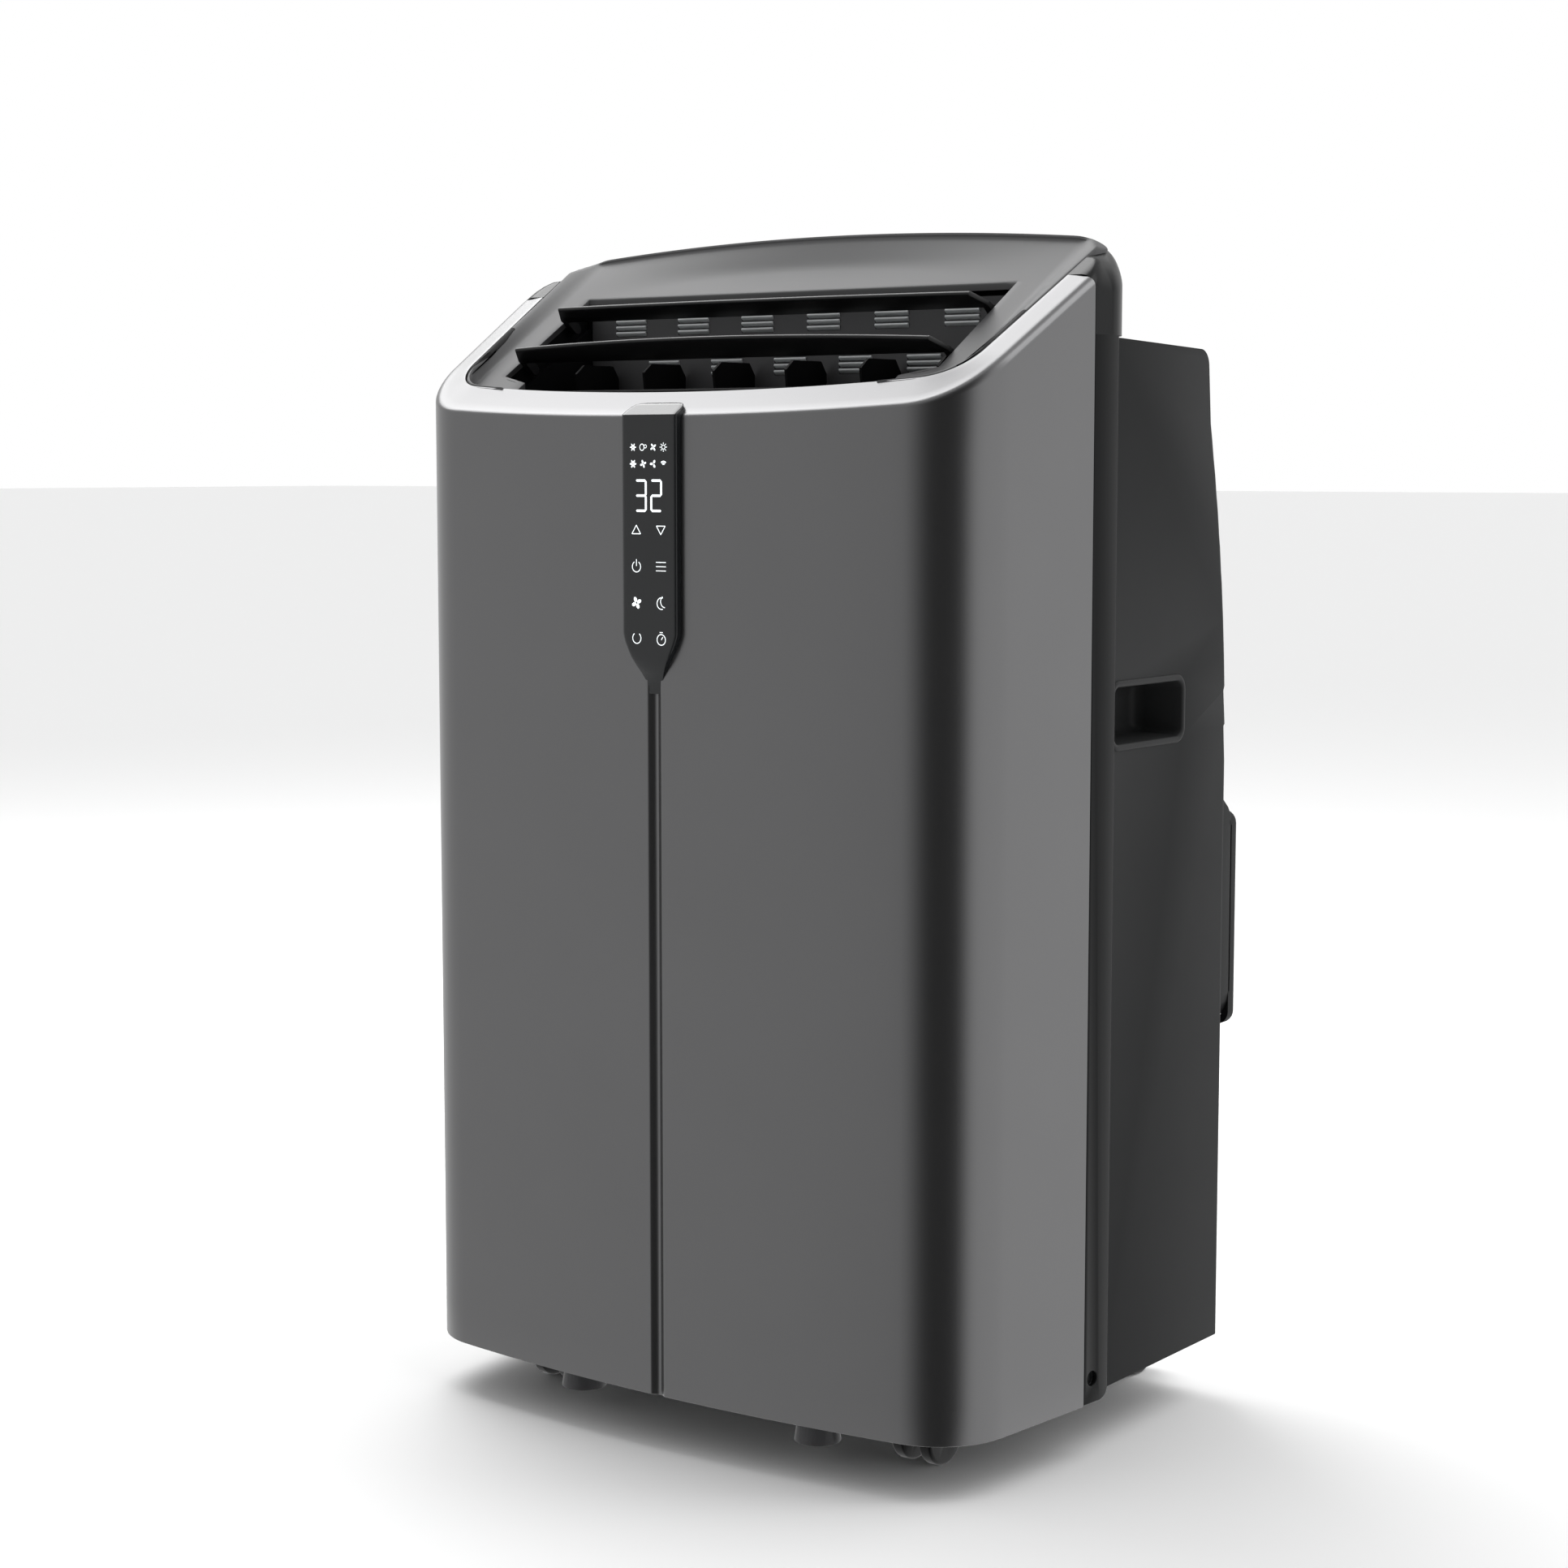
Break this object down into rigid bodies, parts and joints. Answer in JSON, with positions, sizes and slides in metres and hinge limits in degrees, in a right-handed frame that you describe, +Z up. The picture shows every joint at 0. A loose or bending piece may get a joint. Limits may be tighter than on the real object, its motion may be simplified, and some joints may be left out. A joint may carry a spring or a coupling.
{
  "type": "portable air conditioner",
  "caption": "Upright portable air conditioner with a bulged front panel, sloping louvred top outlet, touch strip, rear exhaust collar and castors.",
  "frame": {"origin": "middle of the footprint on the floor that the castors stand on", "axes": "+Z up, +Y towards the exhaust side, +X to the right as seen from the front"},
  "size_m": [0.4668, 0.363, 0.7765],
  "materials": {
    "panel_paint": "satin metallic grey paint on moulded plastic",
    "hood_paint": "satin metallic grey paint on moulded plastic",
    "frame_black": "satin black moulded plastic",
    "housing_black": "fine textured black moulded plastic",
    "strip_gloss": "glossy smoked touch panel with white icons",
    "duct_black": "matte black moulded plastic",
    "louver_black": "satin dark blades",
    "foot_plastic": "grey moulded plastic",
    "castor_black": "hard black nylon",
    "filter_mesh": "fine nylon mesh in a moulded rim",
    "seal_rubber": "moulded rubber",
    "galvanised": "galvanised sheet steel",
    "compressor_paint": "black baked paint",
    "copper": "drawn copper tube",
    "fin_aluminium": "thin aluminium fins",
    "white_plastic": "white moulded polystyrene and polypropylene",
    "motor_steel": "pressed steel can",
    "board_green": "circuit board with lacquer",
    "capacitor_metal": "drawn aluminium can",
    "screw_steel": "black zinc plated steel"
  },
  "bodies": {
    "cabinet": {"front_panel": "panel_paint", "display_strip": "strip_gloss", "control_board": "board_green", "top_cover": "hood_paint", "mid_frame": "frame_black", "rear_housing": "housing_black", "handle_right": "housing_black", "handle_left": "housing_black", "outlet_duct": "duct_black", "guard_grille": "foot_plastic", "swing_motor": "motor_steel", "exhaust_collar": "housing_black", "exhaust_rail": "housing_black", "cord_gland": "seal_rubber", "cord_hooks": "housing_black", "base_pan": "galvanised", "foot_left": "foot_plastic", "foot_right": "foot_plastic", "compressor": "compressor_paint", "compressor_mounts": "seal_rubber", "accumulator": "compressor_paint", "reversing_valve": "copper", "refrigerant_pipes": "copper", "evaporator_coil": "fin_aluminium", "condenser_coil": "fin_aluminium", "evaporator_scroll": "white_plastic", "condenser_scroll": "white_plastic", "evaporator_motor": "motor_steel", "condenser_motor": "motor_steel", "drip_tray": "white_plastic", "electrical_box": "galvanised", "main_board": "board_green", "run_capacitor": "capacitor_metal", "housing_screws": "screw_steel"},
    "louver_front": {"louver_front": "louver_black"},
    "louver_rear": {"louver_rear": "louver_black"},
    "louver_link": {"louver_link": "white_plastic"},
    "vane_link": {"vane_link": "duct_black"},
    "evaporator_blower": {"evaporator_blower": "white_plastic"},
    "condenser_blower": {"condenser_blower": "duct_black"},
    "upper_cassette": {"upper_grille": "housing_black", "upper_filter": "filter_mesh"},
    "lower_cassette": {"lower_grille": "housing_black", "lower_filter": "filter_mesh"},
    "upper_drain_plug": {"upper_drain_plug": "seal_rubber"},
    "lower_drain_plug": {"lower_drain_plug": "seal_rubber"},
    "vane_1": {"vane_1": "duct_black"},
    "vane_2": {"vane_2": "duct_black"},
    "vane_3": {"vane_3": "duct_black"},
    "vane_4": {"vane_4": "duct_black"},
    "vane_5": {"vane_5": "duct_black"},
    "vane_6": {"vane_6": "duct_black"},
    "castor_front_left": {"castor_fork_front_left": "castor_black"},
    "wheels_front_left": {"castor_wheels_front_left": "castor_black"},
    "castor_front_right": {"castor_fork_front_right": "castor_black"},
    "wheels_front_right": {"castor_wheels_front_right": "castor_black"},
    "castor_rear_left": {"castor_fork_rear_left": "castor_black"},
    "wheels_rear_left": {"castor_wheels_rear_left": "castor_black"},
    "castor_rear_right": {"castor_fork_rear_right": "castor_black"},
    "wheels_rear_right": {"castor_wheels_rear_right": "castor_black"}
  },
  "joints": [
    {"name": "front_louver_swing", "type": "hinge", "parent": "cabinet", "child": "louver_front", "pos_m": [0, -0.09455, 0.68929], "axis": [1, 0, 0], "range_deg": [-20, 30]},
    {"name": "rear_louver_swing", "type": "hinge", "parent": "cabinet", "child": "louver_rear", "pos_m": [0, -0.05095, 0.71769], "axis": [1, 0, 0], "range_deg": [-20, 30]},
    {"name": "louver_link_pivot", "type": "hinge", "parent": "louver_front", "child": "louver_link", "pos_m": [0, -0.09455, 0.67529], "axis": [1, 0, 0], "range_deg": [-30, 20]},
    {"name": "vane_1_swing", "type": "hinge", "parent": "cabinet", "child": "vane_1", "pos_m": [-0.145, -0.0565, 0.67], "axis": [0, 0, 1], "range_deg": [-30, 30]},
    {"name": "vane_2_swing", "type": "hinge", "parent": "cabinet", "child": "vane_2", "pos_m": [-0.087, -0.0565, 0.67], "axis": [0, 0, 1], "range_deg": [-30, 30]},
    {"name": "vane_3_swing", "type": "hinge", "parent": "cabinet", "child": "vane_3", "pos_m": [-0.029, -0.0565, 0.67], "axis": [0, 0, 1], "range_deg": [-30, 30]},
    {"name": "vane_4_swing", "type": "hinge", "parent": "cabinet", "child": "vane_4", "pos_m": [0.029, -0.0565, 0.67], "axis": [0, 0, 1], "range_deg": [-30, 30]},
    {"name": "vane_5_swing", "type": "hinge", "parent": "cabinet", "child": "vane_5", "pos_m": [0.087, -0.0565, 0.67], "axis": [0, 0, 1], "range_deg": [-30, 30]},
    {"name": "vane_6_swing", "type": "hinge", "parent": "cabinet", "child": "vane_6", "pos_m": [0.145, -0.0565, 0.67], "axis": [0, 0, 1], "range_deg": [-30, 30]},
    {"name": "vane_link_pivot", "type": "hinge", "parent": "vane_1", "child": "vane_link", "pos_m": [-0.145, -0.0725, 0.668], "axis": [0, 0, 1], "range_deg": [-30, 30]},
    {"name": "evaporator_blower_spin", "type": "hinge", "parent": "cabinet", "child": "evaporator_blower", "pos_m": [0, -0.0265, 0.548], "axis": [0, 1, 0], "continuous": true},
    {"name": "condenser_blower_spin", "type": "hinge", "parent": "cabinet", "child": "condenser_blower", "pos_m": [0.095, 0.0235, 0.19], "axis": [0, 1, 0], "continuous": true},
    {"name": "upper_cassette_pull", "type": "slide", "parent": "cabinet", "child": "upper_cassette", "axis": [0, 1, 0], "range_m": [0, 0.12]},
    {"name": "lower_cassette_pull", "type": "slide", "parent": "cabinet", "child": "lower_cassette", "axis": [0, 1, 0], "range_m": [0, 0.12]},
    {"name": "upper_drain_plug_pull", "type": "slide", "parent": "cabinet", "child": "upper_drain_plug", "axis": [0, 1, 0], "range_m": [0, 0.025]},
    {"name": "lower_drain_plug_pull", "type": "slide", "parent": "cabinet", "child": "lower_drain_plug", "axis": [0, 1, 0], "range_m": [0, 0.025]},
    {"name": "castor_front_left_swivel", "type": "hinge", "parent": "cabinet", "child": "castor_front_left", "pos_m": [-0.1495, -0.1095, 0.04], "axis": [0, 0, 1], "continuous": true},
    {"name": "wheels_front_left_roll", "type": "hinge", "parent": "castor_front_left", "child": "wheels_front_left", "pos_m": [-0.1495, -0.0915, 0.019], "axis": [1, 0, 0], "continuous": true},
    {"name": "castor_front_right_swivel", "type": "hinge", "parent": "cabinet", "child": "castor_front_right", "pos_m": [0.1495, -0.1095, 0.04], "axis": [0, 0, 1], "continuous": true},
    {"name": "wheels_front_right_roll", "type": "hinge", "parent": "castor_front_right", "child": "wheels_front_right", "pos_m": [0.1495, -0.0915, 0.019], "axis": [1, 0, 0], "continuous": true},
    {"name": "castor_rear_left_swivel", "type": "hinge", "parent": "cabinet", "child": "castor_rear_left", "pos_m": [-0.153, 0.1305, 0.04], "axis": [0, 0, 1], "continuous": true},
    {"name": "wheels_rear_left_roll", "type": "hinge", "parent": "castor_rear_left", "child": "wheels_rear_left", "pos_m": [-0.153, 0.1485, 0.019], "axis": [1, 0, 0], "continuous": true},
    {"name": "castor_rear_right_swivel", "type": "hinge", "parent": "cabinet", "child": "castor_rear_right", "pos_m": [0.153, 0.1305, 0.04], "axis": [0, 0, 1], "continuous": true},
    {"name": "wheels_rear_right_roll", "type": "hinge", "parent": "castor_rear_right", "child": "wheels_rear_right", "pos_m": [0.153, 0.1485, 0.019], "axis": [1, 0, 0], "continuous": true}
  ],
  "couplings": [
    {"joint": "rear_louver_swing", "follows": "front_louver_swing", "ratio": 1},
    {"joint": "louver_link_pivot", "follows": "front_louver_swing", "ratio": -1},
    {"joint": "vane_link_pivot", "follows": "vane_1_swing", "ratio": -1},
    {"joint": "vane_2_swing", "follows": "vane_1_swing", "ratio": 1},
    {"joint": "vane_3_swing", "follows": "vane_1_swing", "ratio": 1},
    {"joint": "vane_4_swing", "follows": "vane_1_swing", "ratio": 1},
    {"joint": "vane_5_swing", "follows": "vane_1_swing", "ratio": 1},
    {"joint": "vane_6_swing", "follows": "vane_1_swing", "ratio": 1}
  ]
}
